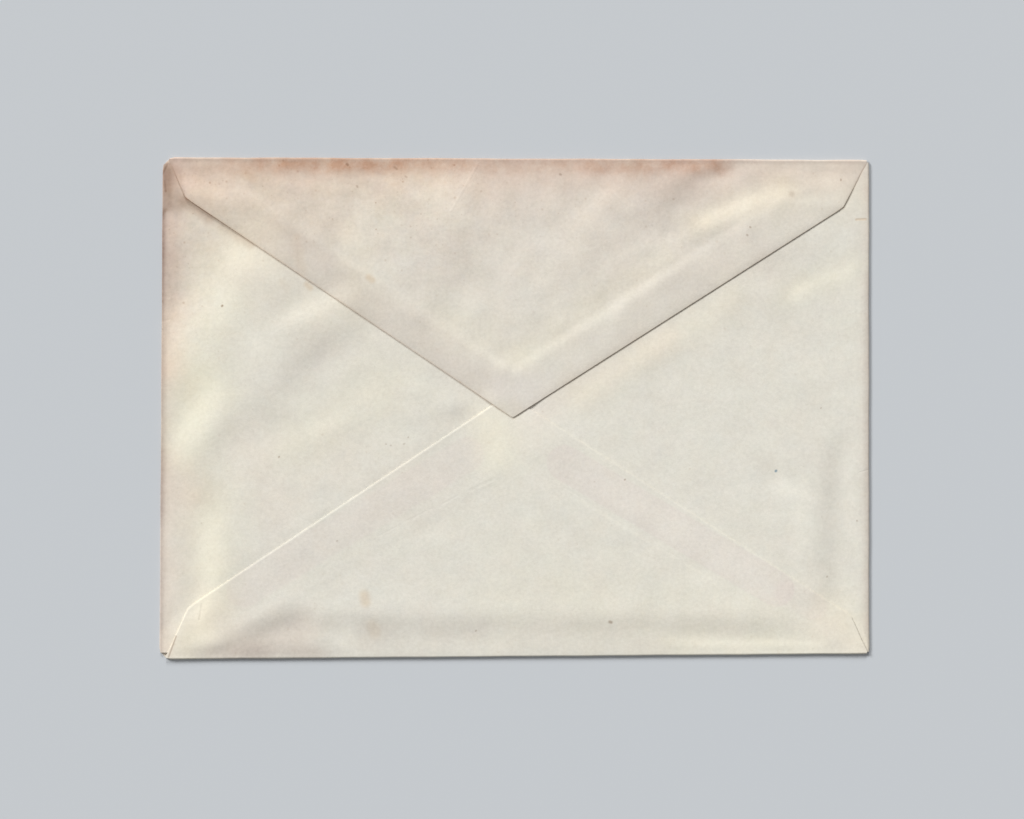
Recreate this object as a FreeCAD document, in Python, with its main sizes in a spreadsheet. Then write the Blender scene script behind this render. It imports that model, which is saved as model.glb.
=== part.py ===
import FreeCAD, Part
import math
import os
import Sketcher
from FreeCAD import Placement, Rotation, Vector

# A small letter envelope with pointed flaps, lying front down with its back up. One sheet of paper
# is cut to a cross, and its four flaps are folded over the front panel: first the left and right
# flaps, then the bottom flap, which is gummed down over both, and last the top flap, which is the
# seal flap and is only folded down, with a band of dry gum under its slanted edges.
# Frame: millimetres, z = 0 is the outside of the front panel, which rests on the table. x runs along
# the long folds, from left to right as the back is seen, y runs from the bottom fold to the top
# fold, and the origin is the middle of the outline.

# Driving dimensions, in millimetres.
SIZES = (
    # the outline of the folded envelope, outside its folds
    ("envelope_width", 162.0, "mean of the top and bottom edges, outside the folds"),
    ("envelope_height", 114.0, "mean of the left and right ends, outside the folds"),
    ("width_taper", 0.8, "bottom edge longer than the top edge"),
    ("height_taper", 1.8, "left end taller than the right end"),
    # the sheet and its layers
    ("paper_thickness", 0.12, "one sheet"),
    ("pocket_gap", 0.30, "air between the front panel and the side flaps"),
    ("glue_thickness", 0.05, "dried gum between the side flaps and the bottom flap"),
    ("seal_gum_thickness", 0.04, "dry gum under the seal flap"),
    ("seal_clearance", 0.06, "air between the bottom flap and that gum"),
    # the corners, where the folds stop so that their bends don't meet
    ("left_corner_relief", 1.4, "the two left corners, worn further than the right ones"),
    ("right_corner_relief", 0.4, "the two right corners"),
    # the seal flap, shoulders measured from the corners of the front panel
    ("top_tip_drop", 2.35, "tip below the middle of the envelope"),
    ("top_tip_shift", 0.16, "tip left of the middle of the top fold"),
    ("top_tip_round", 0.6, "radius of the tip"),
    ("top_left_shoulder_in", 5.3, "left shoulder, along the fold"),
    ("top_left_shoulder_down", 8.75, "left shoulder, away from the fold"),
    ("top_right_shoulder_in", 5.05, "right shoulder, along the fold"),
    ("top_right_shoulder_down", 10.35, "right shoulder, away from the fold"),
    ("top_shoulder_round", 1.5, "radius of both shoulders"),
    # the bottom flap
    ("bottom_tip_rise", 2.93, "tip above the middle of the envelope"),
    ("bottom_tip_shift", 1.03, "tip left of the middle of the bottom fold"),
    ("bottom_tip_round", 2.5, "radius of the tip"),
    ("bottom_left_shoulder_in", 6.6, "left shoulder, along the fold"),
    ("bottom_left_shoulder_up", 10.9, "left shoulder, away from the fold"),
    ("bottom_right_shoulder_in", 4.0, "right shoulder, along the fold"),
    ("bottom_right_shoulder_up", 8.45, "right shoulder, away from the fold"),
    ("bottom_shoulder_round", 3.0, "radius of both shoulders"),
    # the side flaps, whose blunt tips stop short of each other near the middle
    ("side_tip_gap", 2.9, "between the two tips"),
    ("side_tip_shift", 1.45, "middle of that gap right of the middle of the envelope"),
    ("side_tip_round", 4.5, "radius of the corners of the tips"),
    ("side_shoulder_round", 2.0, "radius of the four shoulders"),
    ("left_tip_half_width", 13.0, "half the blunt end of the left flap"),
    ("left_shoulder_along", 1.5, "shoulders of the left flap, along the fold"),
    ("left_shoulder_inward", 11.0, "shoulders of the left flap, away from the fold"),
    ("right_tip_half_width", 10.9, "half the blunt end of the right flap"),
    ("right_shoulder_along", 0.8, "shoulders of the right flap, along the fold"),
    ("right_shoulder_inward", 5.85, "shoulders of the right flap, away from the fold"),
    # the gum, measured square to the fold of the flap that it is on
    ("glue_setback", 3.3, "from the bottom flap's edge to the gum of the side seams"),
    ("seal_gum_setback", 0.9, "from the seal flap's edge to its gum"),
    ("seal_gum_width", 10.6, "width of the seal flap's gum"),
)

# Each fold runs along the front panel from one corner to the next, anticlockwise, so that its flap
# lies on its left: (first corner, last corner).
FOLDS = {
    "bottom": ("bottom_left", "bottom_right"),
    "right": ("bottom_right", "top_right"),
    "top": ("top_right", "top_left"),
    "left": ("top_left", "bottom_left"),
}


def corner_relief(corner):
    """The alias of the relief at a corner such as top_left."""
    return f"Sizes.{corner.split('_')[1]}_corner_relief"


def worked_out():
    """The values that follow from the driving dimensions, as (alias, formula, what it is)."""
    half_width = "(Sizes.envelope_width {} Sizes.width_taper / 2) / 2"
    half_height = "(Sizes.envelope_height {} Sizes.height_taper / 2) / 2"
    rows = [
        ("left_flap_level", "Sizes.paper_thickness + Sizes.pocket_gap", "underside of the flap"),
        ("right_flap_level", "left_flap_level", "underside of the flap"),
        ("glue_level", "left_flap_level + Sizes.paper_thickness", "underside of the gum"),
        ("bottom_flap_level", "glue_level + Sizes.glue_thickness", "underside of the flap"),
        (
            "seal_gum_level",
            "bottom_flap_level + Sizes.paper_thickness + Sizes.seal_clearance",
            "underside of the gum",
        ),
        ("top_flap_level", "seal_gum_level + Sizes.seal_gum_thickness", "underside of the flap"),
    ]
    for fold in FOLDS:
        level = f"{fold}_flap_level"
        rows.append((f"{fold}_bend_outer", f"({level} + Sizes.paper_thickness) / 2", "radius"))
        rows.append((f"{fold}_bend_inner", f"{fold}_bend_outer - Sizes.paper_thickness", "radius"))
    # the corners of the front panel are where the lines at which the bends start would cross
    for corner in (first for first, last in FOLDS.values()):
        long_side, end = corner.split("_")
        wide = half_width.format("-" if long_side == "top" else "+")
        tall = half_height.format("+" if end == "left" else "-")
        x = f"{wide} - {end}_bend_outer"
        y = f"{tall} - {long_side}_bend_outer"
        rows.append((f"{corner}_x", f"-({x})" if end == "left" else x, "corner of the panel"))
        rows.append((f"{corner}_y", f"-({y})" if long_side == "bottom" else y, "the same"))
    for fold, (first, last) in FOLDS.items():
        along_x = f"{last}_x - {first}_x"
        along_y = f"{last}_y - {first}_y"
        rows.append((f"{fold}_fold_length", f"hypot({along_x}; {along_y})", "corner to corner"))
        rows.append((f"{fold}_fold_angle", f"atan2({along_y}; {along_x})", "direction"))
    half = "Sizes.envelope_{} / 2 - {}_bend_outer"
    tall = half.format("height", "{}")
    wide = half.format("width", "{}")
    rows += [
        ("top_depth", tall.format("top") + " + Sizes.top_tip_drop", "fold to tip"),
        ("bottom_depth", tall.format("bottom") + " + Sizes.bottom_tip_rise", "fold to tip"),
        (
            "left_depth",
            wide.format("left") + " + Sizes.side_tip_shift - Sizes.side_tip_gap / 2",
            "fold to tip",
        ),
        (
            "right_depth",
            wide.format("right") + " - Sizes.side_tip_shift - Sizes.side_tip_gap / 2",
            "fold to tip",
        ),
    ]
    return rows


def fill_sheet(doc, name, rows):
    """A spreadsheet with one row for each (alias, content, note)."""
    sheet = doc.addObject("Spreadsheet::Sheet", name)
    for line, (alias, content, note) in enumerate(rows, start=1):
        sheet.set(f"A{line}", alias)
        sheet.set(f"B{line}", content)
        sheet.setAlias(f"B{line}", alias)
        sheet.set(f"C{line}", note)
    return sheet


def new_body(doc, name, fold=None):
    """A body in the frame of a fold: x along the fold from its first corner, y inwards, z up."""
    body = doc.addObject("PartDesign::Body", name)
    body.Label = name
    if fold:
        first = FOLDS[fold][0]
        body.Placement = Placement(Vector(0, 0, 0), Rotation(Vector(0, 0, 1), 1))
        body.setExpression("Placement.Base.x", f"Worked.{first}_x")
        body.setExpression("Placement.Base.y", f"Worked.{first}_y")
        body.setExpression("Placement.Rotation.Angle", f"Worked.{fold}_fold_angle")
    return body


def new_sketch(body, name, role, offset):
    """A sketch on one of the body's own planes, moved along the plane's normal by offset."""
    sketch = body.newObject("Sketcher::SketchObject", name)
    plane = next(o for o in body.Origin.OriginFeatures if o.Role == role)
    sketch.AttachmentSupport = [(plane, "")]
    sketch.MapMode = "FlatFace"
    sketch.setExpression("AttachmentOffset.Base.z", offset)
    return sketch


def pad(body, name, sketch, length):
    feature = body.newObject("PartDesign::Pad", name)
    feature.Profile = sketch
    feature.setExpression("Length", length)
    sketch.Document.recompute()
    return feature


def plate(body, name, corners, level, thickness):
    """A flat plate whose outline runs through corners, each a pair of formulas for its place."""
    sketch = new_sketch(body, f"{name}_outline", "XY_Plane", level)
    places = [Vector(body.evalExpression(x), body.evalExpression(y), 0) for x, y in corners]
    for i, place in enumerate(places):
        sketch.addGeometry(Part.LineSegment(place, places[(i + 1) % len(places)]), False)
    for i, (x, y) in enumerate(corners):
        sketch.addConstraint(Sketcher.Constraint("Coincident", i - 1 if i else len(corners) - 1, 2, i, 1))
        for kind, formula, place in (("DistanceX", x, places[i].x), ("DistanceY", y, places[i].y)):
            number = sketch.addConstraint(Sketcher.Constraint(kind, -1, 1, i, 1, place))
            sketch.setExpression(f"Constraints[{number}]", formula)
    return pad(body, name, sketch, thickness)


def round_corners(body, name, base, corners, radius):
    """Rounds the upright edges of base that stand over corners."""
    places = [(body.evalExpression(x), body.evalExpression(y)) for x, y in corners]
    edges = []
    for number, edge in enumerate(base.Shape.Edges, start=1):
        low, high = edge.Vertexes[0].Point, edge.Vertexes[-1].Point
        upright = math.hypot(high.x - low.x, high.y - low.y) < 1e-6
        if upright and any(math.hypot(low.x - x, low.y - y) < 1e-3 for x, y in places):
            edges.append(f"Edge{number}")
    feature = body.newObject("PartDesign::Fillet", name)
    feature.Base = (base, edges)
    feature.setExpression("Radius", radius)
    body.Document.recompute()
    return feature


def bend(body, fold):
    """The half-round turn of the sheet along a fold, from the front panel up to the flap."""
    first, last = FOLDS[fold]
    sketch = new_sketch(body, f"{fold}_bend_section", "YZ_Plane", corner_relief(first))
    outer = body.evalExpression(f"Worked.{fold}_bend_outer")
    inner = body.evalExpression(f"Worked.{fold}_bend_inner")
    centre = Vector(0, outer, 0)
    for radius in (outer, inner):
        circle = Part.Circle(centre, Vector(0, 0, 1), radius)
        sketch.addGeometry(Part.ArcOfCircle(circle, math.radians(90), math.radians(270)), False)
    for sign in (1, -1):
        ends = [Vector(0, outer + sign * radius, 0) for radius in (outer, inner)]
        sketch.addGeometry(Part.LineSegment(*ends), False)
    # each arc's first end is at the flap and its last end at the panel
    for arc in (0, 1):
        sketch.addConstraint(Sketcher.Constraint("Coincident", 2, arc + 1, arc, 1))
        sketch.addConstraint(Sketcher.Constraint("Coincident", 3, arc + 1, arc, 2))
        sketch.addConstraint(Sketcher.Constraint("PointOnObject", arc, 1, -2))
        sketch.addConstraint(Sketcher.Constraint("PointOnObject", arc, 2, -2))
    sketch.addConstraint(Sketcher.Constraint("Coincident", 0, 3, 1, 3))
    sketch.addConstraint(Sketcher.Constraint("PointOnObject", 0, 3, -2))
    height = sketch.addConstraint(Sketcher.Constraint("DistanceY", -1, 1, 0, 3, outer))
    wide = sketch.addConstraint(Sketcher.Constraint("Radius", 0, outer))
    narrow = sketch.addConstraint(Sketcher.Constraint("Radius", 1, inner))
    sketch.setExpression(f"Constraints[{height}]", f"Worked.{fold}_bend_outer")
    sketch.setExpression(f"Constraints[{wide}]", f"Worked.{fold}_bend_outer")
    sketch.setExpression(f"Constraints[{narrow}]", f"Worked.{fold}_bend_inner")
    length = f"Worked.{fold}_fold_length - {corner_relief(first)} - {corner_relief(last)}"
    return pad(body, f"{fold}_bend", sketch, length)


def from_ends(fold, first, last):
    """Two (along, inward) pairs measured from the fold's two ends, both as places along it."""
    length = f"Worked.{fold}_fold_length"
    return (first[0], first[1]), (f"{length} - {last[0]}", last[1])


def flap_outline(fold):
    """The corners of a flap in its fold's frame: fold end, shoulder, tip, shoulder, fold end."""
    first, last = FOLDS[fold]
    ends = from_ends(fold, (corner_relief(first), "0"), (corner_relief(last), "0"))
    middle = f"Worked.{fold}_fold_length / 2"
    if fold in ("left", "right"):
        shoulder = (f"Sizes.{fold}_shoulder_along", f"Sizes.{fold}_shoulder_inward")
        shoulders = from_ends(fold, shoulder, shoulder)
        half, depth = f"Sizes.{fold}_tip_half_width", f"Worked.{fold}_depth"
        tip = [(f"{middle} - {half}", depth), (f"{middle} + {half}", depth)]
    else:
        away = "down" if fold == "top" else "up"
        pairs = [
            (f"Sizes.{fold}_{end}_shoulder_in", f"Sizes.{fold}_{end}_shoulder_{away}")
            for end in (corner.split("_")[1] for corner in (first, last))
        ]
        shoulders = from_ends(fold, *pairs)
        # the top fold's frame runs from right to left, and the bottom fold's from left to right
        leftwards = "+" if fold == "top" else "-"
        tip = [(f"{middle} {leftwards} Sizes.{fold}_tip_shift", f"Worked.{fold}_depth")]
    return ends, shoulders, tip


def flap_sheet(body, fold, level, thickness):
    """A plate with the whole outline of a flap, its tip and shoulders rounded."""
    ends, shoulders, tip = flap_outline(fold)
    corners = [ends[0], shoulders[0], *tip, shoulders[1], ends[1]]
    sheet = plate(body, f"{body.Name}_sheet", corners, level, thickness)
    kind = "side" if fold in ("left", "right") else fold
    sheet = round_corners(body, f"{body.Name}_tip", sheet, tip, f"Sizes.{kind}_tip_round")
    radius = f"Sizes.{kind}_shoulder_round"
    round_corners(body, f"{body.Name}_shoulders", sheet, shoulders, radius)


def flap(doc, fold):
    """A flap with its bend, in the frame of its fold."""
    body = new_body(doc, f"{fold}_flap", fold)
    flap_sheet(body, fold, f"Worked.{fold}_flap_level", "Sizes.paper_thickness")
    bend(body, fold)
    return body


def front_panel(doc):
    """The front panel, with its corners cut straight across between the ends of the folds."""
    body = new_body(doc, "front_panel")
    corners = []
    for fold, (first, last) in FOLDS.items():
        for corner, sign in ((first, "+"), (last, "-")):
            step = f"{sign} {corner_relief(corner)} *"
            angle = f"Worked.{fold}_fold_angle"
            x = f"Worked.{corner}_x {step} cos({angle})"
            y = f"Worked.{corner}_y {step} sin({angle})"
            corners.append((x, y))
    plate(body, "front_sheet", corners, "0", "Sizes.paper_thickness")
    return body


def seam(doc, fold, reach):
    """The dried gum of one seam: where a side flap lies under the gummed reach of the bottom flap."""
    body = new_body(doc, f"{fold}_lap", fold)
    flap_sheet(body, fold, "Worked.glue_level", "Sizes.glue_thickness")
    gum = doc.addObject("Part::Common", f"{fold}_seam")
    gum.Base = body
    gum.Tool = reach
    return gum


def seal_gum(doc):
    """The band of dry gum along the seal flap's slanted edges, from shoulder to shoulder."""
    body = new_body(doc, "seal_gum", "top")
    _, shoulders, tip = flap_outline("top")
    tip_x, depth = tip[0]
    outer, inner = [], []
    for line, back in (
        (outer, "Sizes.seal_gum_setback"),
        (inner, "(Sizes.seal_gum_setback + Sizes.seal_gum_width)"),
    ):
        # an edge set back by this much meets the shoulder's level this share of the way out
        for x, level in shoulders:
            share = f"({depth} - {level} - {back}) / ({depth} - {level})"
            line.append((f"{tip_x} + ({x} - ({tip_x})) * {share}", level))
        line.insert(1, (tip_x, f"{depth} - {back}"))
    corners = outer + inner[::-1]
    plate(body, "seal_gum_sheet", corners, "Worked.seal_gum_level", "Sizes.seal_gum_thickness")
    return body


def glue_reach(doc):
    """The bottom flap's outline, set back from its slanted edges, at the level of the gum."""
    body = new_body(doc, "glue_reach", "bottom")
    ends, shoulders, tip = flap_outline("bottom")
    back = [(x, f"{y} - Sizes.glue_setback") for x, y in (shoulders[0], tip[0], shoulders[1])]
    corners = [(shoulders[0][0], "0"), *back, (shoulders[1][0], "0")]
    plate(body, "glue_reach_sheet", corners, "Worked.glue_level", "Sizes.glue_thickness")
    return body


def check(doc, envelope, pieces):
    """Stops where an object failed, or the folded sheet isn't one whole solid."""
    for item in doc.Objects:
        if "Invalid" in item.State or "Error" in item.State:
            raise RuntimeError(f"{item.Name} failed: {item.State}")
    for piece in [*pieces, envelope]:
        if piece.Shape.isNull() or not piece.Shape.isValid():
            raise RuntimeError(f"{piece.Name} has no valid shape")
    if len(envelope.Shape.Solids) != 1:
        raise RuntimeError(f"the sheet came out as {len(envelope.Shape.Solids)} solids")
    total = sum(piece.Shape.Volume for piece in pieces)
    if abs(envelope.Shape.Volume - total) > 1e-4 * total:
        raise RuntimeError(f"the pieces overlap: {envelope.Shape.Volume} of {total} mm3")


def main():
    doc = FreeCAD.newDocument("paper_envelope")
    fill_sheet(doc, "Sizes", [(alias, str(size), note) for alias, size, note in SIZES])
    fill_sheet(doc, "Worked", [(alias, f"={rule}", note) for alias, rule, note in worked_out()])
    doc.recompute()

    reach = glue_reach(doc)
    pieces = [front_panel(doc)]
    pieces += [flap(doc, fold) for fold in FOLDS]
    pieces += [seam(doc, fold, reach) for fold in ("left", "right")]
    pieces.append(seal_gum(doc))

    envelope = doc.addObject("Part::MultiFuse", "envelope")
    envelope.Label = "envelope"
    envelope.Shapes = pieces
    envelope.Refine = True
    doc.recompute()
    check(doc, envelope, pieces)

    os.makedirs("parts", exist_ok=True)
    envelope.Shape.exportStep(f"parts/{envelope.Label}.step")
    box = envelope.Shape.BoundBox
    print(f"envelope: {box.XLength:.2f} x {box.YLength:.2f} x {box.ZLength:.2f} mm")
    print(f"paper and gum: {envelope.Shape.Volume:.1f} mm3 in {len(envelope.Shape.Faces)} faces")


main()
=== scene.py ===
import math

import bmesh
import bpy
import numpy as np
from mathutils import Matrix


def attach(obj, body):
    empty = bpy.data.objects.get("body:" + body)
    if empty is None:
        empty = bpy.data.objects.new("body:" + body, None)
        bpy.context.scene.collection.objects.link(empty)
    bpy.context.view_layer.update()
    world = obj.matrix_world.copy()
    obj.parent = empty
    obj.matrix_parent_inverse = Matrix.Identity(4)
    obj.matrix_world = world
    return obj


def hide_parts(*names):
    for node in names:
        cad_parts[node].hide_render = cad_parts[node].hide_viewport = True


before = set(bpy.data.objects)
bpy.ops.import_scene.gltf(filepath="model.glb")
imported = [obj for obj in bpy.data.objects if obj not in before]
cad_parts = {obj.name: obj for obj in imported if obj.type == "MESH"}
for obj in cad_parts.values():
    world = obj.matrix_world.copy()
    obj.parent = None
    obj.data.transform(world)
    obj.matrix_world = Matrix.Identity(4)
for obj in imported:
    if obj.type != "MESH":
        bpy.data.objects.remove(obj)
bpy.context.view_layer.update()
mm = 0.001
print("frame loaded")

# A used letter envelope, lying front down with its pointed flaps up. All sizes are in millimetres
# unless a note says otherwise: x to the right and y up as the back is seen, z out of it.

farOff = 99.0  # stands for the distance to an edge that isn't there
sheet = {
    "width": 162.0,  # outside the folds, mean of the top and bottom edges
    "height": 114.0,
    "corners": {  # where its four edges meet; it was not cut quite square
        ("bottom", "left"): (-81.35, -57.7),
        ("bottom", "right"): (81.25, -56.45),
        ("top", "left"): (-80.6, 57.3),
        ("top", "right"): (81.2, 56.7),
    },
    "paper": 0.12,
    "leftRelief": 1.2,  # how far the corners are cut across
    "rightRelief": 0.12,
    "bend": {"top": 0.465, "bottom": 0.355, "left": 0.27, "right": 0.45},
    "bendRows": 9,
    "drawnIn": (0.75, 0.25),  # share of a bend that is lost at its ends, left and right
    "wavers": ((0.05, 1.9, 1), (0.07, 5.3, 2)),  # of a bend's width: share, wave / 2 pi, phase
    "rim": 0.9,  # width of the worn strip beside a bend
    "step": 1.3,  # grid step away from the details
    "besideTip": 0.6,  # one more column on either side of a tip
    "weld": 0.012,  # points nearer than this are one
    "crisp": 50,  # edges sharper than this many degrees aren't smoothed
}

# The outline of each flap, in the frame of its fold: s from the left or the lower end of the fold,
# then away from the fold. A shoulder is (along the fold from its end, away from the fold). The edge
# rows are the distances from the flap's edge at which rows of the grid follow it.
flaps = {
    "top": {
        "shoulders": ((5.1, 8.85), (5.45, 10.45)),
        "tip": -0.45,  # right of the middle of the fold
        "depth": 58.885,
        "shoulderEase": 0.5,
        "tipEase": 0.45,
        "edgeRows": (0, 0.12, 0.26, 0.42, 0.62, 0.9, 1.3, 1.9, 2.7, 3.7, 4.9, 6.2, 7.5, 8.8, 9.8,
                     10.5, 11.1, 11.6, 12.1, 12.6, 13.1, 13.7, 14.5, 15.6),
    },
    "bottom": {
        "shoulders": ((6.4, 11.5), (3.65, 8.35)),
        "tip": -0.95,
        "depth": 59.6,
        "shoulderEase": 0.8,
        "tipEase": 1.8,
        "edgeRows": (0, 0.1, 0.2, 0.32, 0.46, 0.62, 0.9, 1.4, 2.2, 3.2, 4.4, 5.6, 6.8, 8.0, 9.0,
                     9.8, 10.6, 11.4, 12.2, 13.0, 14.0, 15.2),
    },
    "left": {
        "shoulders": ((1.5, 11.0), (1.5, 11.0)),
        "blunt": 13.0,  # half the width of the blunt tip
        "depth": 80.73,
        "shoulderEase": 1.0,
        "tipEase": 3.4,
        "edgeRows": (0, 0.4, 1.0, 2.0, 3.2),
    },
    "right": {
        "shoulders": ((0.8, 5.85), (0.8, 5.85)),
        "blunt": 10.9,
        "depth": 77.83,
        "shoulderEase": 1.0,
        "tipEase": 3.4,
        "edgeRows": (0, 0.4, 1.0, 2.0, 3.2),
    },
}

layers = {
    "side": 0.54,  # outer face of the side flaps
    "bottomLift": 0.18,  # bottom flap's outer face above the side flaps'
    "bottomSag": 0.045,  # it lies lower where no side flap is under it
    "bottomDip": (0.05, 0.015),  # its cut edge is pressed down, left and right of the tip
    "bottomDipReach": 0.42,
    "topLift": 0.115,  # seal flap's outer face above what it lies on
    "gumRise": 0.16,  # and above that over its band of dry gum
    "gumWider": 0.2,  # the band reaches further in on the right of the tip
    "topDip": 0.08,  # its edge turns down
    "topDipReach": 2.0,
    "shoulder": (6.5, 9.5),  # left shoulder, along the top fold and away from it
    "shoulderLift": 0.38,  # it stands off
    "shoulderReach": (13.0, 8.0),  # from there, and inwards from the edge
    "shoulderFall": 1.6,  # how much faster the lift fades by the first
    "frontWave": 0.05,
}

# Where a form fades in: (0 up to here, whole from here).
fades = {
    "gumEnd": (8.6, 12.2),  # from the seal flap's edge, and this one fades out
    "gumTop": (2.0, 9.0),  # these five from a fold
    "shoulder": (0.0, 7.0),
    "relief": (-0.2, 3.0),
    "cockle": (0, 2.5),
    "front": (0, 12),
    "looseBottom": (2, 12),  # these four from a flap's edge
    "looseTop": (3, 10),
    "overSide": (-2.4, 1.6),
    "overBottom": (-5.0, 0.5),
    "tipOfBottom": (-3, 2),  # these three along x
    "tipOfSeal": (-4, 3),
    "drawnIn": (0, 10),
}

# Soft relief in the back, from the photograph, each on a line: (x and y of its start, x and y of its end,
# half width, height). A slant climbs across its line towards the lower right, which catches the light, and
# falls back on both sides; with a negative height it turns away from the light. A ridge is a plain swell.
relief = {
    "slant": [
        (-74, 51, -66, 49.5, 2.2, 0.18),
        (-71, 50, -62, 47, 1.6, 0.1),
        (-54, 51.8, -45, 51.2, 1.2, 0.05),
        (-16, 52, -13.6, 47, 2, 0.16),
        (-10.5, 43, -12.2, 37, 2.2, -0.11),
        (-12, 32, -19, 21, 2.6, -0.12),
        (-29, 52, -23, 49, 2.4, 0.11),
        (-34, 47, -36, 40, 2.6, 0.06),
        (-38.5, 39, -37, 38, 1.1, 0.04),
        (-38, 32.6, -36, 31.6, 1, 0.05),
        (-2, 46, -6, 40, 2, -0.07),
        (0, 33, 6, 38, 2.4, 0.1),
        (8, 50, 11, 44, 2.6, 0.1),
        (14, 42, 18, 46, 2.2, 0.06),
        (18, 34, 12, 26, 3, -0.08),
        (-6, 20, 4, 18, 2.6, -0.09),
        (-58, 45, -48, 38, 2.4, -0.08),
        (48, 57, 36, 48.5, 2.2, -0.16),
        (37, 49, 24, 38, 3, -0.13),
        (45.5, 43.6, 60, 49.4, 2.2, 0.24),
        (32, 39.5, 37, 36.5, 1.5, 0.13),
        (64, 47.6, 76, 46.8, 1, 0.05),
        (62, 54, 74, 52, 2.6, 0.07),
        (-64.5, 36, -60.5, 33.5, 3, 0.24),
        (-64, 32, -74, 17, 5.4, 0.38),
        (-76, 22, -79, 14, 3.4, 0.1),
        (-50, 21, -40.5, 25.6, 2.3, 0.27),
        (-54, 19, -49, 21, 2, 0.06),
        (-37, 18.5, -46, 12, 2.6, -0.14),
        (-48, 10, -64, -6, 4, -0.12),
        (-64, -3, -69, -9, 2.8, -0.06),
        (-71, 0, -76.5, -8.5, 3.5, 0.34),
        (-34, 2, -45, -5, 2.6, 0.1),
        (-46, -5, -55, -9.5, 2.6, 0.07),
        (-28, 8.5, -22, 5.5, 2.2, 0.05),
        (-20, 4.5, -15, 2.2, 1.8, 0.09),
        (-22, -3, -13, -1, 1.5, -0.06),
        (-79, -17, -78, -22, 2.2, -0.12),
        (-69.8, -29, -70.8, -41, 3, 0.28),
        (-13, -4.7, -66, -39, 1.4, -0.035),
        (-42, -49.2, 60, -49.8, 2.3, -0.14),
        (-60, -50, -50, -47.5, 2, -0.1),
        (-67, -55, -55, -49.5, 2.2, -0.18),
        (36, -53.8, 68, -54.3, 1.2, 0.07),
        (-60, -40, -48, -44, 2.4, 0.05),
        (-76, -49, -71.5, -45.5, 2.4, 0.17),
        (-71.6, -46, -72.6, -51, 0.8, 0.04),
        (-14, -31, -22, -28, 2.6, 0.05),
        (-4, -28, 2, -32, 2, -0.04),
        (12, -27, 17, -29.5, 2, -0.04),
        (-5, -17.6, -12, -21, 0.9, -0.025),
        (16.5, -22.5, 27, -28, 0.9, 0.028),
        (76, -44, 79, -50, 2, 0.08),
        (58, 28, 66, 25.8, 1.5, 0.06),
        (66, 27.6, 76.5, 32, 1.4, 0.09),
        (57, 22, 61, 20.4, 2.6, -0.07),
        (58, -10.5, 61, -14, 1.6, -0.1),
        (56, -15, 56, -24, 1.6, -0.04),
        (60, -18, 66, -20, 2, 0.13),
        (72.4, -12, 71.4, -39, 2.5, -0.16),
        (76, -10, 77, -24, 1.6, 0.05),
        (50, 25.6, 34, 15.6, 2.8, 0.1),
        (33, 15.1, 15.5, 3.3, 2.4, 0.13),
        (30, 12, 32, -2, 5, -0.08),
        (62, 12, 70, 10, 4, 0.05),
    ],
    "ridge": [
        (-8.5, 55.5, -14.5, 45, 0.7, 0.028),
    ],
}

# Small uneven cockling on top of that, stronger where the paper is loose: one size (length of a
# wave) and height for each layer, and the number that its random waves start from.
cockle = {
    "side": {"size": 8.5, "height": 0.016, "seed": 3},
    "bottom": {"size": 8.0, "height": 0.007, "seed": 8},
    "top": {"size": 7.0, "height": 0.026, "seed": 5},
    "waves": 36,
    "spread": 0.38,  # of the logarithm of their lengths
}

light = {
    "away": (0.64, -0.77),  # the way that the light travels over the sheet
    # two wide lamps: the way towards each, and its share of the light on a flat sheet
    "sweep": (((-0.78, 0.62, 0.50), 0.45), ((-0.05, 1.0, 0.50), 0.25)),
    "angle": 18.0,  # how wide each is seen, in degrees
    "fill": 0.30,
}


def smoothStep(x, start, end):
    # 0 before start and 1 after end, t squared times (3 - 2t) between
    t = np.clip((x - start) / (end - start), 0, 1)
    return t * t * (3 - 2 * t)


def easeMin(a, b, ease):
    # the smaller of two arrays, its corner rounded by a quarter of ease
    t = np.maximum(ease - np.abs(a - b), 0) / ease
    return np.minimum(a, b) - t * t * ease / 4


def stations(length, keys, step):
    # places from 0 to length that pass through keys, evenly divided between them
    keys = sorted({0.0, float(length), *keys})
    spans = []
    for a, b in zip(keys, keys[1:]):
        spans.append(np.linspace(a, b, 1 + max(1, round((b - a) / step)))[:-1])
    return np.concatenate([*spans, [length]])


def panelCorners():
    # where the lines at which the bends start would cross: the outline less the bends
    corners = {}
    for (side, end), (x, y) in sheet["corners"].items():
        bendX, bendY = sheet["bend"][end], sheet["bend"][side]
        corners[side, end] = np.array([x - math.copysign(bendX, x), y - math.copysign(bendY, y)])
    return corners


corners = panelCorners()
folds = {  # each fold from its left or lower end
    "bottom": (corners["bottom", "left"], corners["bottom", "right"]),
    "top": (corners["top", "left"], corners["top", "right"]),
    "left": (corners["bottom", "left"], corners["top", "left"]),
    "right": (corners["bottom", "right"], corners["top", "right"]),
}


def foldFrame(name):
    # start, direction along and direction inwards of a fold, and its length
    start, end = folds[name]
    length = np.hypot(*(end - start))
    along = (end - start) / length
    inward = np.array([-along[1], along[0]])
    return start, along, inward if inward @ start < 0 else -inward, length


def toFold(name, x, y):
    # s along the fold and distance inwards from it
    start, along, inward = foldFrame(name)[:3]
    dx, dy = x - start[0], y - start[1]
    return dx * along[0] + dy * along[1], dx * inward[0] + dy * inward[1]


def fromFolds(x, y):
    # distance inwards from the nearest of the four folds
    return np.minimum.reduce([toFold(name, x, y)[1] for name in folds])


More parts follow.
